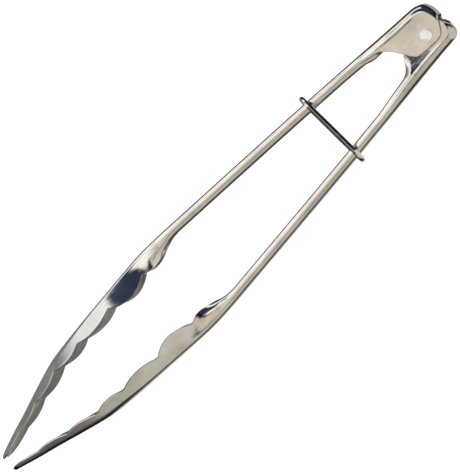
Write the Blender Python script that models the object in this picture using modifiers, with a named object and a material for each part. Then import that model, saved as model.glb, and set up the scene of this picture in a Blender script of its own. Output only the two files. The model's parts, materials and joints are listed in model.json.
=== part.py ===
"""Spring tongs of stamped sheet steel.

Two channel arms with scalloped jaws turn on one rivet, a torsion spring on the rivet
opens them, and an oval wire ring slides along the handles to hold them together.

Frame: metres, +Z up. The rivet's axis is Z and +X runs from the rivet to the jaws.
The origin is the flat outer face of the lower rivet head. The outer arm, whose cheeks
lie outside, is on the -Y side, and the inner arm is on the +Y side.
"""
import math

import bpy
from mathutils import Matrix, Vector

MM = 0.001

# Sheet and rivet, millimetres
SHEET = 0.9
SHANK_RADIUS = 2.0
HOLE_RADIUS = 2.35
HEAD_RADIUS = 3.05
HEAD_HEIGHT = 1.15
HEAD_GAP = 0.3
RIVET_SIDES = 32

# Arms, millimetres and degrees
CHEEK_HALF_OUTER = 7.75
HANDLE_HALF = 6.5
AXIS_OFFSET = 1.56
HANDLE_DEPTH = 5.0
HANDLE_START = 30.0
HANDLE_END = 155.0
CHEEK_CORNER = 3.6
HANDLE_CORNER = 2.2
CURL_TURN = 100.0
CURL_LENGTH = 3.8
LIP_LENGTH = 1.0

# Torsion spring, millimetres
COIL_RADIUS = 3.6
SPRING_WIRE = 1.2
COIL_TURNS = 6
COIL_HALF_LENGTH = 4.0
COIL_STEPS_PER_TURN = 12
LEG_REACH = 21.0
LEG_SIDE = 2.5
LEG_SLACK = 0.9

# Slide ring, millimetres and degrees
RING_X = 66.0
RING_WIRE = 2.7
RING_INNER_HALF_LENGTH = 19.0
RING_INNER_HALF_WIDTH = 8.4
RING_INNER_CORNER = 3.7
RING_LEAN = 10.6

MID_Z = CHEEK_HALF_OUTER + HEAD_GAP + HEAD_HEIGHT

# Back of an arm: distance from the line between the arms, against distance from the rivet
BACK_LINE = ((0.0, 12.7), (12.0, 13.6), (30.0, 15.15), (65.0, 17.9), (100.0, 20.4),
             (148.0, 23.65), (163.0, 24.6), (175.0, 24.9), (186.0, 24.3), (203.0, 22.95),
             (221.0, 21.6), (235.0, 20.3), (243.0, 19.2), (255.4, 15.9), (270.0, 11.6),
             (280.0, 8.9), (294.0, 4.7))

# Half width of the back, before it turns into the walls
BACK_HALF_WIDTH = ((165.0, 6.5), (180.0, 6.9), (192.0, 7.8), (203.0, 8.8), (216.0, 9.8),
                   (226.0, 10.4), (243.0, 10.6), (262.0, 10.1), (277.0, 9.1), (286.0, 8.2),
                   (291.0, 6.8), (293.0, 5.2), (294.0, 3.6))

# How far the jaw's walls lean outward, degrees
FLARE = ((165.0, 0.0), (180.0, 6.0), (192.0, 21.0), (203.0, 31.0), (216.0, 38.0),
         (226.0, 41.0), (243.0, 44.0), (294.0, 46.0))

# Scallops: place and wall depth at each cusp, and how far each bump stands out
CUSPS = ((180.8, 7.7), (203.4, 5.85), (226.0, 5.0), (243.7, 4.1), (261.5, 3.1),
         (277.4, 2.7), (294.0, 1.5))
BUMPS = (3.9, 2.2, 2.0, 1.5, 1.0, 0.5)
STEPS_PER_SCALLOP = 5

# The last stretch of the handle, where the rolled lip opens into a half scallop
THROAT_DEPTH = ((155.0, 5.0), (160.0, 5.7), (166.0, 7.9), (172.0, 9.6), (176.5, 9.6), (180.8, 7.7))

# Cheeks: ribs from a point on the back round to the free edge, as (x, distance from the rivet)
OUTER_CHEEK = (((-10.6, 3.0), (-8.0, -1.0)),
               ((-10.8, 5.2), (-5.2, -4.6)),
               ((-10.4, 8.4), (-2.0, -5.6)),
               ((-8.8, 11.8), (1.4, -5.6)),
               ((-5.0, 13.7), (4.2, -5.4)),
               ((0.0, 14.26), (7.0, -5.1)),
               ((5.0, 14.6), (9.6, -4.7)),
               ((9.4, 14.95), (11.2, -3.7)),
               ((12.4, 15.2), (13.1, -1.2)),
               ((15.0, 15.4), (15.0, 2.3)),
               ((18.0, 15.65), (18.0, 6.8)),
               ((21.0, 15.92), (21.0, 9.3)),
               ((25.0, 16.27), (25.0, 10.9)))
INNER_CHEEK = (((-11.3, 4.7), (-8.6, 1.8)),
               ((-11.2, 6.9), (-5.6, -3.8)),
               ((-10.2, 9.0), (-3.6, -5.4)),
               ((-7.8, 10.5), (-0.6, -6.1)),
               ((-3.9, 10.95), (2.4, -6.0)),
               ((0.0, 11.14), (5.4, -5.6)),
               ((5.0, 11.5), (8.8, -5.0)),
               ((9.0, 11.8), (11.2, -4.0)),
               ((12.0, 12.04), (13.2, -2.2)),
               ((15.0, 12.3), (15.2, 1.0)),
               ((18.0, 12.55), (18.0, 4.2)),
               ((21.0, 12.82), (21.0, 6.4)),
               ((25.0, 13.17), (25.0, 8.0)))


def clear_scene():
    """Remove every object, so the script can run twice in one file."""
    for item in list(bpy.data.objects):
        bpy.data.objects.remove(item, do_unlink=True)


def new_collection(name):
    collection = bpy.data.collections.new(name)
    bpy.context.scene.collection.children.link(collection)
    return collection


def make_material(name, colour, roughness):
    material = bpy.data.materials.new(name)
    material.use_nodes = True
    shader = material.node_tree.nodes["Principled BSDF"]
    shader.inputs["Base Color"].default_value = (*colour, 1.0)
    shader.inputs["Roughness"].default_value = roughness
    shader.inputs["Metallic"].default_value = 1.0
    return material


def smooth_value(table, at):
    """Read a smooth line through the table's points, held level past its ends."""
    if at <= table[0][0]:
        return table[0][1]
    if at >= table[-1][0]:
        return table[-1][1]
    count = len(table)
    index = next(i for i in range(count - 1) if at <= table[i + 1][0])
    slopes = []
    for i in (index, index + 1):
        before = table[max(i - 1, 0)]
        after = table[min(i + 1, count - 1)]
        slopes.append((after[1] - before[1]) / (after[0] - before[0]))
    x0, y0 = table[index]
    x1, y1 = table[index + 1]
    span = x1 - x0
    t = (at - x0) / span
    rise = t * t * (3.0 - 2.0 * t)
    start_pull = t * (1.0 - t) ** 2 * span * slopes[0]
    end_pull = t * t * (t - 1.0) * span * slopes[1]
    return y0 + (y1 - y0) * rise + start_pull + end_pull


def ramp(at, start, end):
    """0 before start, 1 after end, smooth between."""
    t = min(max((at - start) / (end - start), 0.0), 1.0)
    return t * t * (3.0 - 2.0 * t)


def mix(a, b, t):
    return a + (b - a) * t


def half_section(half_width, depth, corner, flare, curl):
    """Points (side, depth) from the middle of an arm's back to one free edge.

    The back turns a round corner into the wall, and curl rolls the wall's end inward.
    """
    corner_turn = math.radians(90.0 - flare)
    corner_depth = corner * (1.0 - math.cos(corner_turn))
    straight = (depth - corner_depth) / math.sin(corner_turn)
    curl_turn = math.radians(CURL_TURN) * curl
    curl_length = mix(0.5 * straight, CURL_LENGTH, curl)
    lip = mix(0.15 * straight, LIP_LENGTH, curl)
    end_heading = corner_turn + curl_turn
    wall = 0.35 * straight
    if curl > 0.0:
        curl_radius = curl_length / curl_turn
        curl_depth = curl_radius * (math.cos(corner_turn) - math.cos(min(end_heading, math.pi)))
        lip_depth = lip * max(math.sin(end_heading), 0.0)
        wall = max((depth - corner_depth - curl_depth - lip_depth) / math.sin(corner_turn), 0.5)
    back = half_width - corner * math.tan(corner_turn / 2.0)
    runs = ((back, 0.0, 1), (corner * corner_turn, corner_turn, 3), (wall, 0.0, 1),
            (curl_length, curl_turn, 3), (lip, 0.0, 1))
    side, down, heading = 0.0, 0.0, 0.0
    points = [(side, down)]
    for length, turn, steps in runs:
        for _ in range(steps):
            half_turn = turn / steps / 2.0
            chord = length / steps
            if half_turn > 0.0:
                chord *= math.sin(half_turn) / half_turn
            heading += half_turn
            side += chord * math.cos(heading)
            down += chord * math.sin(heading)
            heading += half_turn
            points.append((side, down))
    return points


def full_section(*shape):
    """The whole section, from one free edge across the back to the other."""
    half = half_section(*shape)
    other_half = [(-side, down) for side, down in reversed(half[1:])]
    return other_half + half


def scallop_depth(x):
    """Depth of the jaw's wall: a row of bumps that meet in sharp cusps."""
    for (x0, depth0), (x1, depth1), bump in zip(CUSPS, CUSPS[1:], BUMPS):
        if x <= x1 + 1e-6:
            t = (x - x0) / (x1 - x0)
            return mix(depth0, depth1, t) + bump * 4.0 * t * (1.0 - t)
    return CUSPS[-1][1]


def arm_places():
    """Distances along the arm for the handle, throat and jaw sections."""
    places = [HANDLE_START, 35.0, 42.0, 54.0, 66.0, 84.0, 102.0, 120.0, 138.0, HANDLE_END]
    places += [160.0, 164.0, 168.0, 172.0, 176.5]
    for (x0, _), (x1, _) in zip(CUSPS, CUSPS[1:]):
        places += [mix(x0, x1, step / STEPS_PER_SCALLOP) for step in range(STEPS_PER_SCALLOP)]
    places += [291.5, 293.2, CUSPS[-1][0]]
    return sorted(places)


def arm_depth(x):
    if x < HANDLE_END:
        return HANDLE_DEPTH
    if x < CUSPS[0][0]:
        return smooth_value(THROAT_DEPTH, x)
    return scallop_depth(x)


def arm_sections(cheek, cheek_half, offset):
    """Sections of one arm as (back point, inward direction, section points)."""
    sections = []
    for back, edge in cheek:
        step = Vector(edge) - Vector(back)
        half_width = mix(cheek_half, HANDLE_HALF, ramp(back[0], 14.0, 42.0))
        corner = min(CHEEK_CORNER, 0.8 * step.length)
        curl = ramp(back[0], 20.0, 34.0)
        points = full_section(half_width, step.length, corner, 0.0, curl)
        sections.append((Vector(back), step.normalized(), points))
    for x in arm_places():
        back = Vector((x, smooth_value(BACK_LINE, x) + offset))
        half_width = smooth_value(BACK_HALF_WIDTH, x)
        half_width += (cheek_half - HANDLE_HALF) * (1.0 - ramp(x, 14.0, 42.0))
        corner = mix(CHEEK_CORNER, HANDLE_CORNER, ramp(x, 20.0, 50.0))
        flare = smooth_value(FLARE, x)
        curl = ramp(x, 20.0, 34.0) * (1.0 - ramp(x, 158.0, 177.0))
        points = full_section(half_width, arm_depth(x), corner, flare, curl)
        sections.append((back, Vector((0.0, -1.0)), points))
    return sections


def build_arm(name, cheek, cheek_half, offset, side, material, collection):
    """Loft one arm's outer skin, give it the sheet's thickness and drill its rivet holes."""
    sections = arm_sections(cheek, cheek_half, offset)
    vertices = []
    for back, inward, points in sections:
        for across, down in points:
            place = back + inward * down
            vertices.append((place.x * MM, side * place.y * MM, across * MM))
    row = len(sections[0][2])
    faces = []
    for i in range(len(sections) - 1):
        for j in range(row - 1):
            a = i * row + j
            corners = (a, a + 1, a + row + 1, a + row)
            faces.append(corners if side > 0 else corners[::-1])
    mesh = bpy.data.meshes.new(name)
    mesh.from_pydata(vertices, [], faces)
    mesh.shade_smooth()
    mesh.set_sharp_from_angle(angle=math.radians(40.0))
    arm = bpy.data.objects.new(name, mesh)
    arm.location = (0.0, 0.0, MID_Z * MM)
    arm.data.materials.append(material)
    collection.objects.link(arm)
    shell = arm.modifiers.new("sheet", "SOLIDIFY")
    shell.thickness = SHEET * MM
    shell.offset = -1.0
    return arm


def drill(arm, cutters):
    """Cut the rivet's hole through both cheeks."""
    bpy.ops.mesh.primitive_cylinder_add(vertices=RIVET_SIDES, radius=HOLE_RADIUS * MM,
                                        depth=4.0 * CHEEK_HALF_OUTER * MM, location=arm.location)
    drill_bit = bpy.context.object
    drill_bit.name = arm.name + "_drill"
    drill_bit.hide_render = True
    drill_bit.display_type = "WIRE"
    for owner in list(drill_bit.users_collection):
        owner.objects.unlink(drill_bit)
    cutters.objects.link(drill_bit)
    hole = arm.modifiers.new("rivet_hole", "BOOLEAN")
    hole.operation = "DIFFERENCE"
    hole.solver = "EXACT"
    hole.object = drill_bit


def build_rivet(material, collection):
    """Turn the rivet: a shank between two low heads with flat faces."""
    top = 2.0 * MID_Z
    head = ((0.0, 0.0), (2.0, 0.0), (2.75, 0.3), (HEAD_RADIUS, 0.8), (HEAD_RADIUS, HEAD_HEIGHT),
            (SHANK_RADIUS, HEAD_HEIGHT))
    profile = [(radius, top - height) for radius, height in head]
    profile += list(reversed(head))
    mesh = bpy.data.meshes.new("pivot_rivet")
    points = [(radius * MM, 0.0, height * MM) for radius, height in profile]
    edges = [(i, i + 1) for i in range(len(points) - 1)]
    mesh.from_pydata(points, edges, [])
    rivet = bpy.data.objects.new("pivot_rivet", mesh)
    rivet.data.materials.append(material)
    collection.objects.link(rivet)
    turn = rivet.modifiers.new("turned", "SCREW")
    turn.steps = RIVET_SIDES
    turn.render_steps = RIVET_SIDES
    turn.use_merge_vertices = True
    turn.merge_threshold = 0.00001
    turn.use_smooth_shade = False
    return rivet


def wire(name, points, radius, sides_level, closed, material, collection):
    """A round wire along a list of points in millimetres."""
    curve = bpy.data.curves.new(name, "CURVE")
    curve.dimensions = "3D"
    curve.bevel_depth = radius * MM
    curve.bevel_resolution = sides_level
    curve.use_fill_caps = not closed
    spline = curve.splines.new("POLY")
    spline.points.add(len(points) - 1)
    for target, point in zip(spline.points, points):
        target.co = (*(value * MM for value in point), 1.0)
    spline.use_cyclic_u = closed
    strand = bpy.data.objects.new(name, curve)
    strand.data.materials.append(material)
    collection.objects.link(strand)
    return strand


def leg_tip(cheek, side):
    """Where a spring leg ends: just inside the back of its arm."""
    back = smooth_value([rib[0] for rib in cheek], LEG_REACH)
    return Vector((LEG_REACH, side * (back - SHEET - LEG_SLACK - SPRING_WIRE / 2.0)))


def spring_points():
    """The spring's centre line: a leg, the coil round the rivet, and the other leg."""
    outer_tip = leg_tip(OUTER_CHEEK[5:], -1.0)
    inner_tip = leg_tip(INNER_CHEEK[5:], 1.0)
    outer_angle = math.atan2(outer_tip.y, outer_tip.x)
    inner_angle = math.atan2(inner_tip.y, inner_tip.x)
    start = outer_angle + math.acos(COIL_RADIUS / outer_tip.length)
    end = inner_angle - math.acos(COIL_RADIUS / inner_tip.length) + 2.0 * math.pi * COIL_TURNS
    steps = round((end - start) / (2.0 * math.pi) * COIL_STEPS_PER_TURN)
    points = [(outer_tip.x, outer_tip.y, -LEG_SIDE)]
    for i in range(steps + 1):
        angle = mix(start, end, i / steps)
        height = mix(-COIL_HALF_LENGTH, COIL_HALF_LENGTH, i / steps)
        points.append((COIL_RADIUS * math.cos(angle), COIL_RADIUS * math.sin(angle), height))
    points.append((inner_tip.x, inner_tip.y, LEG_SIDE))
    return points


def ring_points():
    """The ring's centre line: a rounded rectangle across the handles."""
    wire_radius = RING_WIRE / 2.0
    corner = RING_INNER_CORNER + wire_radius
    half_length = RING_INNER_HALF_LENGTH - RING_INNER_CORNER
    half_width = RING_INNER_HALF_WIDTH - RING_INNER_CORNER
    points = []
    for quarter, (sign_y, sign_z) in enumerate(((1, 1), (-1, 1), (-1, -1), (1, -1))):
        for step in range(7):
            angle = math.radians(90.0 * quarter + 15.0 * step)
            points.append((0.0, sign_y * half_length + corner * math.cos(angle),
                           sign_z * half_width + corner * math.sin(angle)))
    return points


def main():
    clear_scene()
    model = new_collection("spring_tongs")
    cutters = new_collection("cutters")
    sheet_steel = make_material("pressed_steel", (0.62, 0.60, 0.56), 0.22)
    bright_steel = make_material("rivet_steel", (0.85, 0.85, 0.86), 0.30)
    wire_steel = make_material("wire_steel", (0.55, 0.55, 0.56), 0.15)
    outer = build_arm("outer_arm", OUTER_CHEEK, CHEEK_HALF_OUTER, AXIS_OFFSET, -1,
                      sheet_steel, model)
    inner = build_arm("inner_arm", INNER_CHEEK, HANDLE_HALF, -AXIS_OFFSET, 1,
                      sheet_steel, model)
    drill(outer, cutters)
    drill(inner, cutters)
    build_rivet(bright_steel, model)
    spring = wire("torsion_spring", spring_points(), SPRING_WIRE / 2.0, 2, False,
                  wire_steel, model)
    spring.location = (0.0, 0.0, MID_Z * MM)
    ring = wire("slide_ring", ring_points(), RING_WIRE / 2.0, 3, True, wire_steel, model)
    lean = Matrix.Rotation(math.radians(-RING_LEAN), 4, "Y")
    ring.matrix_world = Matrix.Translation(Vector((RING_X, -AXIS_OFFSET, MID_Z)) * MM) @ lean


main()
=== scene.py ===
"""Looks for the spring tongs: polished pressed steel, a peened rivet, a wire ring and a coil spring."""
import json
import math
from collections import namedtuple

import bpy
from mathutils import Matrix, Vector


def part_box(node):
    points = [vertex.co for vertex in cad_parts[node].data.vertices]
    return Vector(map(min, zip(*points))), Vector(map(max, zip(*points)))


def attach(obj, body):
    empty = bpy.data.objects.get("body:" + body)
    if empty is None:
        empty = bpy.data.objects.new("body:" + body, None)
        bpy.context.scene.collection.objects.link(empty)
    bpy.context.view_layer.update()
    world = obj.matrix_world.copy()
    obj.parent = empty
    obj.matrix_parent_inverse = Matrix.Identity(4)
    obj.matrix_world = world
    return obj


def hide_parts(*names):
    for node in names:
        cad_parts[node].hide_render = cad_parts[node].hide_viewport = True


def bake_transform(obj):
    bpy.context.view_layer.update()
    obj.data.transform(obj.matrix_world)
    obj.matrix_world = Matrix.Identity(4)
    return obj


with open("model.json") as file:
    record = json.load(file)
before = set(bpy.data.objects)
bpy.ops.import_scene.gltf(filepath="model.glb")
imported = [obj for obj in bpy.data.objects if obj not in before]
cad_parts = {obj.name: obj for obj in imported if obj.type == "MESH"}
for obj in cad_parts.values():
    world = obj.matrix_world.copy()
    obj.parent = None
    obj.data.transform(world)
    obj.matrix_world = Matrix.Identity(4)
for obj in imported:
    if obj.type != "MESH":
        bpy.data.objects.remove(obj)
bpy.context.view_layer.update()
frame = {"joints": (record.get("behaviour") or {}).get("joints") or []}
bpy.ops.object.select_all(action="DESELECT")

# Lengths are in millimetres and turned to metres with MM. X runs along the tongs from the
# rivet to the tips, Y across them from the outer arm to the inner arm, Z along the rivet.
MM = 0.001
PIVOT = Vector(next(joint for joint in frame["joints"]
                    if joint["name"] == "outer_arm_hinge")["pos_m"])


# ---------------------------------------------------------------- helpers

def mix(a, b, t):
    return a + (b - a) * t


def ramp(at, start, end):
    """0 before start, 1 after end, smooth between."""
    t = min(max((at - start) / (end - start), 0.0), 1.0)
    return t * t * (3.0 - 2.0 * t)


def hermite(table, index, t):
    """Smooth value between two rows of a table of (place, value)."""
    slopes = []
    for i in (index, index + 1):
        before = table[max(i - 1, 0)]
        after = table[min(i + 1, len(table) - 1)]
        slopes.append((after[1] - before[1]) / (after[0] - before[0]))
    (x0, y0), (x1, y1) = table[index], table[index + 1]
    span = x1 - x0
    rise = t * t * (3.0 - 2.0 * t)
    pull = t * (1.0 - t) ** 2 * span * slopes[0] + t * t * (t - 1.0) * span * slopes[1]
    return y0 + (y1 - y0) * rise + pull


def smooth_value(table, at):
    """Read a smooth line through the table's points, held level past its ends."""
    if at <= table[0][0]:
        return table[0][1]
    if at >= table[-1][0]:
        return table[-1][1]
    index = next(i for i in range(len(table) - 1) if at <= table[i + 1][0])
    t = (at - table[index][0]) / (table[index + 1][0] - table[index][0])
    return hermite(table, index, t)


def select_only(thing):
    bpy.ops.object.select_all(action="DESELECT")
    thing.select_set(True)
    bpy.context.view_layer.objects.active = thing


def smooth_shading(thing, degrees):
    select_only(thing)
    bpy.ops.object.shade_smooth_by_angle(angle=math.radians(degrees))


def merge_seams(thing):
    """Join the vertices that meet at a seam or a pole and turn all faces outwards."""
    select_only(thing)
    bpy.ops.object.mode_set(mode="EDIT")
    bpy.ops.mesh.select_all(action="SELECT")
    bpy.ops.mesh.remove_doubles(threshold=0.00001)
    bpy.ops.mesh.normals_make_consistent(inside=False)
    bpy.ops.object.mode_set(mode="OBJECT")


def apply_all(thing):
    select_only(thing)
    for modifier in list(thing.modifiers):
        bpy.ops.object.modifier_apply(modifier=modifier.name)


def add_grid(name, columns, rows):
    """A flat grid to be shaped, with the column and row number of each of its vertices."""
    bpy.ops.mesh.primitive_grid_add(x_subdivisions=columns - 1, y_subdivisions=rows - 1, size=2.0)
    grid = bpy.context.object
    grid.name = name
    numbered = [(vertex, round((vertex.co.x + 1.0) / 2.0 * (columns - 1)),
                 round((vertex.co.y + 1.0) / 2.0 * (rows - 1))) for vertex in grid.data.vertices]
    return grid, numbered


# ---------------------------------------------------------------- steel finishes

def place_noise(nodes, links, scale, detail, stretch):
    """A noise texture in object space, stretched along X, Y or Z by the given factors."""
    where = nodes.new("ShaderNodeTexCoord")
    mapping = nodes.new("ShaderNodeMapping")
    mapping.inputs["Scale"].default_value = stretch
    noise = nodes.new("ShaderNodeTexNoise")
    noise.inputs["Scale"].default_value = scale
    noise.inputs["Detail"].default_value = detail
    links.new(where.outputs["Object"], mapping.inputs["Vector"])
    links.new(mapping.outputs["Vector"], noise.inputs["Vector"])
    return noise.outputs["Fac"]


def remap(nodes, links, source, low, high, start=0.35, end=0.65):
    """Spread a texture value between two output values."""
    node = nodes.new("ShaderNodeMapRange")
    node.inputs["From Min"].default_value = start
    node.inputs["From Max"].default_value = end
    node.inputs["To Min"].default_value = low
    node.inputs["To Max"].default_value = high
    links.new(source, node.inputs["Value"])
    return node.outputs["Result"]


def add_bump(nodes, links, height, strength, distance, before=None):
    bump = nodes.new("ShaderNodeBump")
    bump.inputs["Strength"].default_value = strength
    bump.inputs["Distance"].default_value = distance
    links.new(height, bump.inputs["Height"])
    if before is not None:
        links.new(before, bump.inputs["Normal"])
    return bump.outputs["Normal"]


def tint(nodes, links, value, dark, bright):
    """Colour between two tones by a texture value."""
    blend = nodes.new("ShaderNodeMix")
    blend.data_type = "RGBA"
    blend.inputs["A"].default_value = (*dark, 1.0)
    blend.inputs["B"].default_value = (*bright, 1.0)
    links.new(value, blend.inputs["Factor"])
    return blend.outputs["Result"]


# How fine each pattern is, and how deep in metres the ones that are felt as well as seen
CLOUD_SCALE = 55.0
STREAK_SCALE = 900.0
SCRATCH_SCALE = 2600.0
WAVE_SCALE = 70.0
WAVE_DEPTH = 0.0006
STREAK_DEPTH = 0.00003
SCRATCH_DEPTH = 0.00002
EVEN = (1.0, 1.0, 1.0)


def steel(name, dark, bright, rough, grain, wave, stretch=EVEN, wave_scale=WAVE_SCALE,
          metallic=1.0):
    """Stainless steel: drawn grain, hair scratches, cloudy polish and pressed-sheet waves.

    rough is the smoothest and roughest polish, grain and wave are how strongly they show, and
    stretch draws the grain out along the axis with the smallest factor.
    """
    material = bpy.data.materials.new(name)
    material.use_nodes = True
    nodes, links = material.node_tree.nodes, material.node_tree.links
    surface = nodes["Principled BSDF"]
    surface.inputs["Metallic"].default_value = metallic
    cloud = place_noise(nodes, links, CLOUD_SCALE, 3.0, EVEN)
    streak = place_noise(nodes, links, STREAK_SCALE, 4.0, stretch)
    scratch = place_noise(nodes, links, SCRATCH_SCALE, 1.0, stretch)
    ripple = place_noise(nodes, links, wave_scale, 1.0, (0.6, 1.0, 1.0))
    links.new(tint(nodes, links, remap(nodes, links, cloud, 0.0, 1.0), dark, bright),
              surface.inputs["Base Color"])
    add = nodes.new("ShaderNodeMath")
    add.operation = "ADD"
    links.new(remap(nodes, links, cloud, *rough), add.inputs[0])
    links.new(remap(nodes, links, streak, -0.03, 0.05), add.inputs[1])
    links.new(add.outputs["Value"], surface.inputs["Roughness"])
    normal = add_bump(nodes, links, ripple, wave, WAVE_DEPTH)
    normal = add_bump(nodes, links, streak, grain, STREAK_DEPTH, normal)
    normal = add_bump(nodes, links, remap(nodes, links, scratch, 0.0, 1.0, 0.62, 0.72),
                      grain * 0.8, SCRATCH_DEPTH, normal)
    links.new(normal, surface.inputs["Normal"])
    return material


pressed_steel = steel("pressed_steel", (0.68, 0.655, 0.62), (0.85, 0.83, 0.795), (0.06, 0.13),
                      grain=0.30, wave=0.12, stretch=(0.06, 1.0, 1.0))
inside_steel = steel("inside_steel", (0.62, 0.62, 0.61), (0.74, 0.74, 0.73), (0.36, 0.48),
                     grain=0.25, wave=0.10, stretch=(0.10, 1.0, 1.0))
wire_steel = steel("wire_steel", (0.74, 0.74, 0.74), (0.86, 0.86, 0.86), (0.05, 0.09),
                   grain=0.20, wave=0.05, stretch=(1.0, 0.15, 1.0))
spring_steel = steel("spring_steel", (0.60, 0.59, 0.57), (0.72, 0.71, 0.69), (0.16, 0.26),
                     grain=0.25, wave=0.05)
# The rivet: a near-white colour at low metallic, partly its bright peened metal and partly a painted
# sheen. The diffuse white stands in for the bright reflection off its hammered head.
rivet_steel = steel("rivet_steel", (0.88, 0.89, 0.90), (0.97, 0.98, 0.99), (0.30, 0.44),
                    grain=0.5, wave=0.9, wave_scale=420.0, metallic=0.35)


# ---------------------------------------------------------------- arms

# Each arm is one sheet pressed into a channel: a back, two walls, and a free edge on each wall.
# Cheeks at the rivet, a straight handle with its free edges curled in, then a flared jaw.
SHEET = 0.9
HANDLE_HALF = 6.5
HANDLE_DEPTH = 5.0
AXIS_OFFSET = 1.56
HEAD_ROOM = 1.45
CHEEK_HALF = (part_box("pivot_rivet")[1].z - PIVOT.z) / MM - HEAD_ROOM
RIVET_HOLE = 2.35
DRILL_LENGTH = 40.0
EDGE_ROUNDING = 0.2
SHARPEST_BEND = 55.0

# The bend between back and wall, where along the arm it changes from part to part, and how
# large it may be beside the wall's depth
CHEEK_CORNER = 3.6
HANDLE_CORNER = 2.2
JAW_CORNER = 7.0
CORNER_BLEND = (20.0, 50.0)
JAW_BLEND = (205.0, 250.0)
CHEEK_CORNER_SHARE = 0.8
JAW_CORNER_SHARE = 2.2
HANDLE_MIDDLE = 100.0

# The curled edge: its turn in degrees, its length, the flat lip after it, where it fades out,
# and the least wall left beside it
CURL_TURN = 100.0
CURL_LENGTH = 3.8
CURL_RADIUS = CURL_LENGTH / math.radians(CURL_TURN)
CURL_FADE = (158.0, 177.0)
LIP_LENGTH = 1.0
CURL_ROOM = 0.55
LEAST_WALL = 0.5

# Where the cheeks narrow into the handle, and the last of the inner throat's deeper edge
CHEEK_BLEND = (14.0, 42.0)
THROAT_BLEND = (24.0, 48.0)
TUCK_END = 19.0
TUCK_LENGTH = 16.0

# Distance from the rivet, then: how far out the back lies, half its width, and the walls'
# lean in degrees
BACK_LINE = ((0.0, 12.7), (12.0, 13.6), (30.0, 15.15), (65.0, 17.9), (100.0, 20.4),
             (148.0, 23.65), (163.0, 24.6), (175.0, 24.9), (186.0, 24.3), (203.0, 22.95),
             (221.0, 21.6), (235.0, 20.3), (243.0, 19.2), (255.4, 15.9), (270.0, 11.6),
             (280.0, 8.9), (294.0, 4.7))
BACK_HALF_WIDTH = ((165.0, 6.5), (180.0, 6.9), (192.0, 7.8), (203.0, 8.8), (216.0, 9.8),
                   (226.0, 10.4), (243.0, 10.6), (262.0, 10.1), (277.0, 9.1), (286.0, 8.2),
                   (291.0, 6.8), (293.0, 5.2), (294.0, 3.6))
FLARE = ((165.0, 0.0), (180.0, 6.0), (192.0, 21.0), (203.0, 31.0), (216.0, 38.0),
         (226.0, 41.0), (243.0, 44.0), (294.0, 46.0))

# Wall depths: the swell where handle meets jaw, the cusps between scallops, and how far each
# scallop bulges past its two cusps
THROAT_DEPTH = ((155.0, 5.0), (160.0, 5.7), (166.0, 7.9), (172.0, 9.6), (176.5, 9.6), (180.8, 7.7))
CUSPS = ((180.8, 7.7), (203.4, 5.85), (226.0, 5.0), (243.7, 4.1), (261.5, 3.1),
         (277.4, 2.7), (294.0, 1.5))
BUMPS = (3.9, 2.2, 2.0, 1.5, 1.0, 0.5)

# Ribs of the cheeks, from the closed end to the handle: a point on the back and one on the
# free edge, each as (along X, out from the rivet)
OUTER_CHEEK = (((-10.6, 3.0), (-8.0, -1.0)), ((-10.8, 5.2), (-5.2, -4.6)),
               ((-10.4, 8.4), (-2.0, -5.6)), ((-8.8, 11.8), (1.4, -5.6)),
               ((-5.0, 13.7), (4.2, -5.4)), ((0.0, 14.26), (7.0, -5.1)),
               ((5.0, 14.6), (9.6, -4.7)), ((9.4, 14.95), (11.2, -3.7)),
               ((12.4, 15.2), (13.1, -1.2)), ((15.0, 15.4), (15.0, 2.3)),
               ((18.0, 15.65), (18.0, 6.8)), ((21.0, 15.92), (21.0, 9.3)),
               ((25.0, 16.27), (25.0, 10.9)))
INNER_CHEEK = (((-11.3, 3.5), (-10.1, 0.4)), ((-11.2, 6.9), (-6.0, -3.8)),
               ((-10.2, 9.0), (-3.6, -5.4)), ((-7.8, 10.5), (-0.6, -6.1)),
               ((-3.9, 10.95), (2.4, -6.0)), ((0.0, 11.14), (5.4, -5.6)),
               ((5.0, 11.5), (8.8, -5.0)), ((9.0, 11.8), (11.2, -4.0)),
               ((12.0, 12.04), (13.9, -2.6)), ((15.0, 12.3), (16.0, -0.4)),
               ((18.0, 12.55), (18.2, 3.1)), ((21.0, 12.82), (21.1, 5.5)),
               ((25.0, 13.17), (25.0, 6.9)))

# side: which way Y the arm lies; tuck: how much narrower its closed end is; curl_from: where
# the curl begins; step_down: how strongly the cheek's border is pressed in; throat_edge: how
# much deeper the wall stays past the cheek
ArmShape = namedtuple("ArmShape", "side cheek cheek_half offset tuck curl_from step_down throat_edge")
OUTER_SHAPE = ArmShape(side=-1, cheek=OUTER_CHEEK, cheek_half=CHEEK_HALF, offset=AXIS_OFFSET,
                       tuck=0.0, curl_from=(20.0, 34.0), step_down=1.0, throat_edge=0.4)
INNER_SHAPE = ArmShape(side=1, cheek=INNER_CHEEK, cheek_half=HANDLE_HALF, offset=-AXIS_OFFSET,
                       tuck=0.8, curl_from=(13.0, 27.0), step_down=0.35, throat_edge=1.3)

# A half section's runs are the flat back, the corner, the shoulder beside it, the wall, the
# curl and the lip, each in this many steps. A wall with no curl is shared out by WALL_SHARES.
SECTION_STEPS = (5, 12, 3, 6, 10, 2)
SECTION_POINTS = 2 * sum(SECTION_STEPS) + 1
WALL_SHARES = (0.35, 0.5, 0.15)
SHOULDER = 0.9
SHOULDER_SHARE = 0.4

# The cheek's face is pressed in below its border, over the first points past the corner
CREASE = (0.05, 0.12, 0.19, 0.24)
CREASE_START = SECTION_STEPS[0] + SECTION_STEPS[1]
CREASE_IN = (-22.0, -16.0)
CREASE_OUT = (28.0, 52.0)

# Places along the arm: negative ones step through the ribs, the rest are distances
RIB_SPAN = 30.0
RIB_STEP = 0.5
HANDLE_START = 27.5
HANDLE_STEP = 1.5
LAST_GAP = 0.6
SWELL_START = 150.0
SWELL_STEP = 0.9
SCALLOP_STEP = 0.8
TIP_PLACES = (293.4, 293.75)


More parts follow.
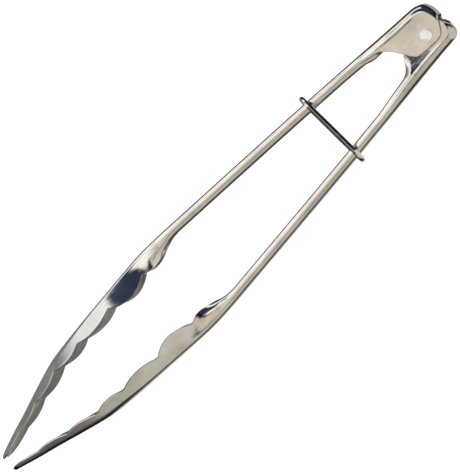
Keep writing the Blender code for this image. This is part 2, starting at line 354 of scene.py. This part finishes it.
def half_section(half_width, depth, corner, flare, curl):
    """Points (out, down) from the middle of an arm's back to one free edge."""
    corner_turn = math.radians(90.0 - flare)
    corner_depth = corner * (1.0 - math.cos(corner_turn))
    straight = (depth - corner_depth) / math.sin(corner_turn)
    wall = WALL_SHARES[0] * straight
    curl_length = mix(WALL_SHARES[1] * straight, CURL_LENGTH, curl)
    lip = mix(WALL_SHARES[2] * straight, LIP_LENGTH, curl)
    curl_turn = math.radians(CURL_TURN) * curl
    if curl > 0.0:
        end_heading = corner_turn + curl_turn
        drop = math.cos(corner_turn) - math.cos(min(end_heading, math.pi))
        lip_depth = lip * max(math.sin(end_heading), 0.0)
        left = depth - corner_depth - curl_length / curl_turn * drop - lip_depth
        wall = max(left / math.sin(corner_turn), LEAST_WALL)
    flat_back = half_width - corner * math.tan(corner_turn / 2.0)
    shoulder = min(SHOULDER, SHOULDER_SHARE * wall)
    runs = ((flat_back, 0.0), (corner * corner_turn, corner_turn), (shoulder, 0.0),
            (wall - shoulder, 0.0), (curl_length, curl_turn), (lip, 0.0))
    out, down, heading = 0.0, 0.0, 0.0
    points = [(out, down)]
    for (length, turn), count in zip(runs, SECTION_STEPS):
        for _ in range(count):
            half_turn = turn / count / 2.0
            chord = length / count
            if half_turn > 0.0:
                chord *= math.sin(half_turn) / half_turn
            heading += half_turn
            out += chord * math.cos(heading)
            down += chord * math.sin(heading)
            heading += half_turn
            points.append((out, down))
    return points


def full_section(*measures):
    half = half_section(*measures)
    return [(-out, down) for out, down in reversed(half[1:])] + half


def arm_depth(x):
    """Wall depth along the arm: the handle, the swell, then a row of scallops."""
    if x < THROAT_DEPTH[0][0]:
        return HANDLE_DEPTH
    if x < CUSPS[0][0]:
        return smooth_value(THROAT_DEPTH, x)
    for (x0, depth0), (x1, depth1), bump in zip(CUSPS, CUSPS[1:], BUMPS):
        if x <= x1 + 1e-6:
            t = (x - x0) / (x1 - x0)
            return mix(depth0, depth1, t) + bump * 4.0 * t * (1.0 - t)
    return CUSPS[-1][1]


def cheek_rib(x, cheek):
    """The back point and the free edge point of a place among the cheek's ribs."""
    last = len(cheek) - 1
    place = min((x / RIB_SPAN + 1.0) * last, last - 1e-9)
    index = int(place)
    ends = [[hermite([(float(i), rib[end][axis]) for i, rib in enumerate(cheek)],
                     index, place - index) for axis in (0, 1)] for end in (0, 1)]
    return Vector(ends[0]), Vector(ends[1])


def cheek_section(x, shape):
    """Back point, inward direction and section of a cheek."""
    back, free_edge = cheek_rib(x, shape.cheek)
    step = free_edge - back
    half_width = mix(shape.cheek_half, HANDLE_HALF, ramp(back.x, *CHEEK_BLEND))
    half_width -= shape.tuck * min(max((TUCK_END - back.x) / TUCK_LENGTH, 0.0), 1.0)
    curl = ramp(back.x, *shape.curl_from)
    corner = min(CHEEK_CORNER, CHEEK_CORNER_SHARE * step.length,
                 step.length - CURL_RADIUS * curl - CURL_ROOM)
    return back, step.normalized(), full_section(half_width, step.length, corner, 0.0, curl)


def arm_section(x, shape):
    """Back point, inward direction and section at a place along the arm."""
    if x < 0.0:
        return cheek_section(x, shape)
    back = Vector((x, smooth_value(BACK_LINE, x) + shape.offset))
    half_width = smooth_value(BACK_HALF_WIDTH, x)
    half_width += (shape.cheek_half - HANDLE_HALF) * (1.0 - ramp(x, *CHEEK_BLEND))
    curl = ramp(x, *shape.curl_from) * (1.0 - ramp(x, *CURL_FADE))
    depth = arm_depth(x) + shape.throat_edge * (1.0 - ramp(x, *THROAT_BLEND))
    corner = mix(CHEEK_CORNER, HANDLE_CORNER, ramp(x, *CORNER_BLEND))
    if x < HANDLE_MIDDLE:
        corner = min(corner, depth - CURL_RADIUS * curl - CURL_ROOM)
    corner = min(mix(corner, JAW_CORNER, ramp(x, *JAW_BLEND)), JAW_CORNER_SHARE * depth)
    section = full_section(half_width, depth, corner, smooth_value(FLARE, x), curl)
    return back, Vector((0.0, -1.0)), section


def arm_places():
    """Places along the arm, with one exactly on each cusp."""
    places = [-RIB_SPAN + RIB_STEP * i for i in range(int(RIB_SPAN / RIB_STEP))]
    x = HANDLE_START
    while x < CUSPS[0][0] - LAST_GAP:
        places.append(x)
        x += HANDLE_STEP if x < SWELL_START else SWELL_STEP
    for (x0, _), (x1, _) in zip(CUSPS, CUSPS[1:]):
        count = round((x1 - x0) / SCALLOP_STEP)
        places += [mix(x0, x1, i / count) for i in range(count)]
    places += [*TIP_PLACES, CUSPS[-1][0]]
    return sorted(set(places))


def make_arm(name, shape):
    """Shape a fine grid into an arm's outer skin, thicken it, drill it and round its edges."""
    places = arm_places()
    sections = [arm_section(x, shape) for x in places]
    arm, numbered = add_grid(name, SECTION_POINTS, len(places))
    arm.data.materials.append(pressed_steel)
    arm.data.materials.append(inside_steel)
    for vertex, across, along in numbered:
        back, inward, section = sections[along]
        out, down = section[across]
        pressed = ramp(places[along], *CREASE_IN) * (1.0 - ramp(places[along], *CREASE_OUT))
        crease = min(abs(across - SECTION_POINTS // 2) - CREASE_START, len(CREASE) - 1)
        if crease >= 0:
            out -= math.copysign(CREASE[crease] * pressed * shape.step_down, out)
        place = back + inward * down
        vertex.co = PIVOT + Vector((place.x, shape.side * place.y, out)) * MM
    if shape.side < 0:
        arm.data.flip_normals()
    shell = arm.modifiers.new("sheet", "SOLIDIFY")
    shell.thickness = SHEET * MM
    shell.offset = -1.0
    shell.material_offset = 1
    apply_all(arm)
    bpy.ops.mesh.primitive_cylinder_add(vertices=96, radius=RIVET_HOLE * MM,
                                        depth=DRILL_LENGTH * MM, location=PIVOT)
    drill = bpy.context.object
    hole = arm.modifiers.new("rivet_hole", "BOOLEAN")
    hole.operation = "DIFFERENCE"
    hole.solver = "EXACT"
    hole.object = drill
    edge = arm.modifiers.new("rounded_edges", "BEVEL")
    edge.width = EDGE_ROUNDING * MM
    edge.segments = 2
    edge.limit_method = "ANGLE"
    edge.angle_limit = math.radians(SHARPEST_BEND)
    apply_all(arm)
    bpy.data.objects.remove(drill)
    smooth_shading(arm, 38.0)
    return arm


outer_arm = make_arm("outer_arm_pressing", OUTER_SHAPE)
inner_arm = make_arm("inner_arm_pressing", INNER_SHAPE)


# ---------------------------------------------------------------- wires

def make_wire(name, points, thickness, closed):
    """A smooth round wire along points given in metres, as a mesh."""
    curve = bpy.data.curves.new(name, "CURVE")
    curve.dimensions = "3D"
    curve.bevel_depth = thickness / 2.0 * MM
    curve.bevel_resolution = 8
    curve.use_fill_caps = not closed
    spline = curve.splines.new("POLY")
    spline.points.add(len(points) - 1)
    for target, point in zip(spline.points, points):
        target.co = (*point, 1.0)
    spline.use_cyclic_u = closed
    strand = bpy.data.objects.new(name, curve)
    bpy.context.scene.collection.objects.link(strand)
    select_only(strand)
    bpy.ops.object.convert(target="MESH")
    merge_seams(strand)
    smooth_shading(strand, 50.0)
    return strand


# The lock ring: a rounded loop that leans a little
RING_LOW, RING_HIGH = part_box("slide_ring")
RING_WIRE = 2.7
RING_LEAN = math.radians(-10.6)
RING_CORNER = 3.7
RING_HALF_GAP = 8.4
RING_CORNER_STEPS = 16


def ring_points():
    """The middle line of the ring's wire: four rounded corners joined by straights."""
    wire = RING_WIRE / 2.0 * MM
    corner = RING_CORNER * MM + wire
    half_length = (RING_HIGH.y - RING_LOW.y) / 2.0 - wire - corner
    half_width = RING_HALF_GAP * MM + wire - corner
    centre = (RING_LOW + RING_HIGH) / 2.0
    lean = Matrix.Rotation(RING_LEAN, 3, "Y")
    points = []
    for quarter, (sign_y, sign_z) in enumerate(((1, 1), (-1, 1), (-1, -1), (1, -1))):
        for step in range(RING_CORNER_STEPS + 1):
            angle = math.radians(90.0 * quarter + 90.0 / RING_CORNER_STEPS * step)
            flat = Vector((0.0, sign_y * half_length + corner * math.cos(angle),
                           sign_z * half_width + corner * math.sin(angle)))
            points.append(centre + lean @ flat)
    return points


ring = make_wire("lock_ring", ring_points(), RING_WIRE, True)

# The spring: a close coil round the rivet, and a leg out to each arm's back
SPRING_WIRE = 1.2
COIL_RADIUS = 3.6
COIL_TURNS = 6
COIL_HALF_LENGTH = 4.0
COIL_STEP = math.radians(7.5)
LEG_REACH = 21.0
LEG_SIDE = 2.5
LEG_SLACK = 0.9
LEG_STEPS = 24


def leg_tip(shape):
    """Where a leg ends, just inside the arm's back."""
    back = smooth_value([rib[0] for rib in shape.cheek[5:]], LEG_REACH)
    return Vector((LEG_REACH, shape.side * (back - SHEET - LEG_SLACK - SPRING_WIRE / 2.0)))


def spring_lines():
    """The outer leg, the coil and the inner leg, as three lists of points in metres."""
    tips = (leg_tip(OUTER_SHAPE), leg_tip(INNER_SHAPE))
    angles = [math.atan2(tip.y, tip.x) for tip in tips]
    start = angles[0] + math.acos(COIL_RADIUS / tips[0].length)
    end = angles[1] - math.acos(COIL_RADIUS / tips[1].length) + 2.0 * math.pi * COIL_TURNS
    steps = round((end - start) / COIL_STEP)
    coil_run = []
    for i in range(steps + 1):
        angle = mix(start, end, i / steps)
        height = mix(-COIL_HALF_LENGTH, COIL_HALF_LENGTH, i / steps)
        coil_run.append(Vector((COIL_RADIUS * math.cos(angle), COIL_RADIUS * math.sin(angle), height)))
    first = Vector((*tips[0], -LEG_SIDE))
    last = Vector((*tips[1], LEG_SIDE))
    shares = [i / LEG_STEPS for i in range(LEG_STEPS + 1)]
    runs = ([first.lerp(coil_run[0], share) for share in shares], coil_run,
            [coil_run[-1].lerp(last, share) for share in shares])
    return [[PIVOT + point * MM for point in run] for run in runs]


outer_leg_line, coil_line, inner_leg_line = spring_lines()
coil = make_wire("spring_coil", coil_line, SPRING_WIRE, False)
outer_leg = make_wire("spring_leg_outer", outer_leg_line, SPRING_WIRE, False)
inner_leg = make_wire("spring_leg_inner", inner_leg_line, SPRING_WIRE, False)


# ---------------------------------------------------------------- rivet

# A flat factory head below, a hammered and slightly uneven head above
RIVET_LOW, RIVET_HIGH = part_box("pivot_rivet")
HEAD_RADIUS = (RIVET_HIGH.x - RIVET_LOW.x) / 2.0 / MM
RIVET_HALF = (RIVET_HIGH.z - RIVET_LOW.z) / 2.0 / MM
HEAD_HEIGHT = 1.15
SHANK_RADIUS = 2.0
RIVET_STEPS = 96
HAMMERED_IN = 0.12

# Outline from the top down, as (radius, height)
RIVET_OUTLINE = (
    (0.0, RIVET_HALF - 0.02), (0.9, RIVET_HALF), (1.7, RIVET_HALF - 0.06),
    (2.4, RIVET_HALF - 0.24), (HEAD_RADIUS - 0.12, RIVET_HALF - 0.55),
    (HEAD_RADIUS, RIVET_HALF - 0.82), (HEAD_RADIUS - 0.03, RIVET_HALF - HEAD_HEIGHT),
    (SHANK_RADIUS, RIVET_HALF - HEAD_HEIGHT), (SHANK_RADIUS, -RIVET_HALF + HEAD_HEIGHT),
    (HEAD_RADIUS, -RIVET_HALF + HEAD_HEIGHT), (HEAD_RADIUS, -RIVET_HALF + 0.8),
    (HEAD_RADIUS - 0.2, -RIVET_HALF + 0.45), (2.3, -RIVET_HALF), (0.0, -RIVET_HALF))


def hammered(angle):
    """How far the upper head's rim stands out or in round the rivet."""
    return (0.10 * math.cos(2.0 * angle + 0.6) + 0.06 * math.cos(3.0 * angle + 2.1)
            + 0.04 * math.cos(5.0 * angle)) - HAMMERED_IN


def make_rivet():
    """Wrap a grid round the rivet's outline."""
    body, numbered = add_grid("peened_rivet", RIVET_STEPS + 1, len(RIVET_OUTLINE))
    for vertex, across, along in numbered:
        angle = 2.0 * math.pi * across / RIVET_STEPS
        radius, height = RIVET_OUTLINE[along]
        if height > RIVET_HALF - HEAD_HEIGHT + 0.01:
            radius += hammered(angle) * radius / HEAD_RADIUS
        place = Vector((radius * math.cos(angle), radius * math.sin(angle), height))
        vertex.co = PIVOT + place * MM
    merge_seams(body)
    smooth_shading(body, 40.0)
    return body


rivet = make_rivet()


# ---------------------------------------------------------------- bodies and slots

for piece, material in ((ring, wire_steel), (coil, spring_steel), (outer_leg, spring_steel),
                        (inner_leg, spring_steel), (rivet, rivet_steel)):
    piece.data.materials.clear()
    piece.data.materials.append(material)

for piece, body in ((outer_arm, "outer_arm"), (inner_arm, "inner_arm"), (ring, "slide_ring"),
                    (coil, "pivot"), (rivet, "pivot")):
    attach(piece, body)
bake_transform(outer_leg)
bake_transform(inner_leg)
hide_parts("outer_arm")
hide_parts("inner_arm")
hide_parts("slide_ring")
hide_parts("pivot_rivet")
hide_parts("torsion_spring")


# ---------------------------------------------------------------- stage

# What the metal mirrors. East, north and up are a mirrored direction's X, Y and Z: east is
# toward the tips, north toward the inner arm's side. Later areas lie over earlier ones.
NAVY = (0.030, 0.042, 0.085)
CREAM = (1.22, 1.16, 1.06)
INKY = (0.11, 0.09, 0.075)


def set_world():
    """A soft studio: what the metal mirrors from each side, and an even white for the rest."""
    world = bpy.data.worlds.new("studio")
    bpy.context.scene.world = world
    world.use_nodes = True
    nodes, links = world.node_tree.nodes, world.node_tree.links
    nodes.clear()
    output = nodes.new("ShaderNodeOutputWorld")
    where = nodes.new("ShaderNodeTexCoord")
    split = nodes.new("ShaderNodeSeparateXYZ")
    links.new(where.outputs["Generated"], split.inputs["Vector"])
    east, north, up = split.outputs["X"], split.outputs["Y"], split.outputs["Z"]

    def band(source, start, end):
        """0 on start's side and 1 on end's side, with a soft border between the two."""
        node = nodes.new("ShaderNodeMapRange")
        node.interpolation_type = "SMOOTHSTEP"
        node.inputs["From Min"].default_value = start
        node.inputs["From Max"].default_value = end
        links.new(source, node.inputs["Value"])
        return node.outputs["Result"]

    def area(first, *others):
        """Where all the given bands meet."""
        mask = first
        for other in others:
            node = nodes.new("ShaderNodeMath")
            node.operation = "MULTIPLY"
            links.new(mask, node.inputs[0])
            links.new(other, node.inputs[1])
            mask = node.outputs["Value"]
        return mask

    def paint(under, upper, mask):
        """Lay one colour over another, or over what is painted so far."""
        node = nodes.new("ShaderNodeMix")
        node.data_type = "RGBA"
        if isinstance(under, tuple):
            node.inputs["A"].default_value = (*under, 1.0)
        else:
            links.new(under, node.inputs["A"])
        node.inputs["B"].default_value = (*upper, 1.0)
        links.new(mask, node.inputs["Factor"])
        return node.outputs["Result"]

    # Overhead: beige, greener to the north, cream and then white to the south
    sky = paint((0.76, 0.68, 0.585), (0.55, 0.53, 0.455), band(north, 0.12, 0.75))
    sky = paint(sky, CREAM, band(north, -0.10, -0.34))
    sky = paint(sky, (1.08, 1.12, 1.14), band(north, -0.72, -0.80))

    # A dark strip to the north, and a dark and a grey side to the east
    sky = paint(sky, INKY, area(band(north, 0.15, 0.20), band(north, 0.40, 0.30)))
    sky = paint(sky, (0.035, 0.035, 0.04),
                area(band(east, 0.30, 0.42), band(north, -0.45, -0.30), band(north, 0.60, 0.40)))
    sky = paint(sky, (0.40, 0.46, 0.46), area(band(east, 0.38, 0.46), band(north, -0.40, -0.55)))

    # The horizon, which is ashen to the south-east
    sky = paint(sky, (0.11, 0.105, 0.10), band(up, 0.12, -0.10))
    sky = paint(sky, (0.33, 0.38, 0.38),
                area(band(east, 0.28, 0.40), band(north, -0.30, -0.40), band(up, 0.30, 0.10)))

    # Navy over the west, with a cream gap in it and a near-black strip straight ahead
    high = band(up, 0.42, 0.50)
    sky = paint(sky, NAVY, area(band(east, 0.105, 0.085), band(north, 0.01, -0.02),
                                band(east, -0.52, -0.46), high))
    sky = paint(sky, CREAM, area(band(north, -0.10, -0.15), band(north, -0.45, -0.40),
                                 band(east, -0.03, 0.02)))
    west = area(band(east, -0.04, -0.10), band(north, 0.16, 0.08))
    sky = paint(sky, NAVY, area(west, high, band(north, -0.30, -0.22)))
    sky = paint(sky, NAVY, area(west, band(east, -0.42, -0.50)))
    sky = paint(sky, (0.006, 0.006, 0.008), area(band(north, -0.18, -0.12), band(north, 0.08, 0.02),
                                                 band(east, 0.02, -0.03)))

    # Below: black, and grey to the south-east
    sky = paint(sky, (0.008, 0.008, 0.010), area(band(up, -0.32, -0.42), band(up, -0.94, -0.86)))
    sky = paint(sky, (0.24, 0.26, 0.26),
                area(band(east, 0.18, 0.26), band(north, -0.15, -0.25), band(up, 0.0, -0.2)))

    # Pale beige over the whole north-west, and a mid grey straight down
    sky = paint(sky, (0.70, 0.66, 0.60), area(band(east, 0.0, -0.12), band(north, 0.02, 0.12)))
    sky = paint(sky, (0.42, 0.40, 0.38), band(up, -0.86, -0.93))

    mirrored = nodes.new("ShaderNodeBackground")
    links.new(sky, mirrored.inputs["Color"])
    even = nodes.new("ShaderNodeBackground")
    even.inputs["Color"].default_value = (1.0, 1.0, 1.0, 1.0)
    rays = nodes.new("ShaderNodeLightPath")
    pick = nodes.new("ShaderNodeMixShader")
    links.new(rays.outputs["Is Glossy Ray"], pick.inputs["Fac"])
    links.new(even.outputs["Background"], pick.inputs[1])
    links.new(mirrored.outputs["Background"], pick.inputs[2])
    links.new(pick.outputs["Shader"], output.inputs["Surface"])


set_world()

# A pale paper floor just under the tongs, left out of what the metal mirrors
FLOOR_SIZE = 3.0
FLOOR_CENTRE = (0.13, 0.0, -0.009)
bpy.ops.mesh.primitive_plane_add(size=FLOOR_SIZE, location=FLOOR_CENTRE)
floor = bpy.context.object
floor.name = "pale_floor"
paper = bpy.data.materials.new("pale_paper")
paper.use_nodes = True
paper_face = paper.node_tree.nodes["Principled BSDF"]
paper_face.inputs["Base Color"].default_value = (0.90, 0.90, 0.90, 1.0)
paper_face.inputs["Roughness"].default_value = 0.9
paper_face.inputs["Specular IOR Level"].default_value = 0.1
paper_face.inputs["Emission Color"].default_value = (1.0, 1.0, 1.0, 1.0)
paper_face.inputs["Emission Strength"].default_value = 0.60
floor.data.materials.append(paper)
floor.visible_glossy = False

bpy.context.scene.view_settings.view_transform = "Standard"

# Camera: almost straight down the rivet, leaning a little toward the pivot end
CAMERA_DISTANCE = 4.563
CAMERA_TARGET = Vector((136.8, -0.4, 18.4)) * MM
camera_data = bpy.data.cameras.new("camera")
camera_data.lens = 720.0
camera_data.sensor_fit = "VERTICAL"
camera_data.sensor_height = 36.0
camera_data.clip_end = 20.0
camera = bpy.data.objects.new("camera", camera_data)
bpy.context.scene.collection.objects.link(camera)
bpy.context.scene.camera = camera
view_back = Vector((-0.183, 0.061, 0.98)).normalized()
view_right = Vector((-0.7039, 0.7104, 0.0))
view_right = (view_right - view_back * view_right.dot(view_back)).normalized()
view_up = view_back.cross(view_right)
turn = Matrix((view_right, view_up, view_back)).transposed()
camera.matrix_world = (Matrix.Translation(CAMERA_TARGET + view_back * CAMERA_DISTANCE)
                       @ turn.to_4x4())
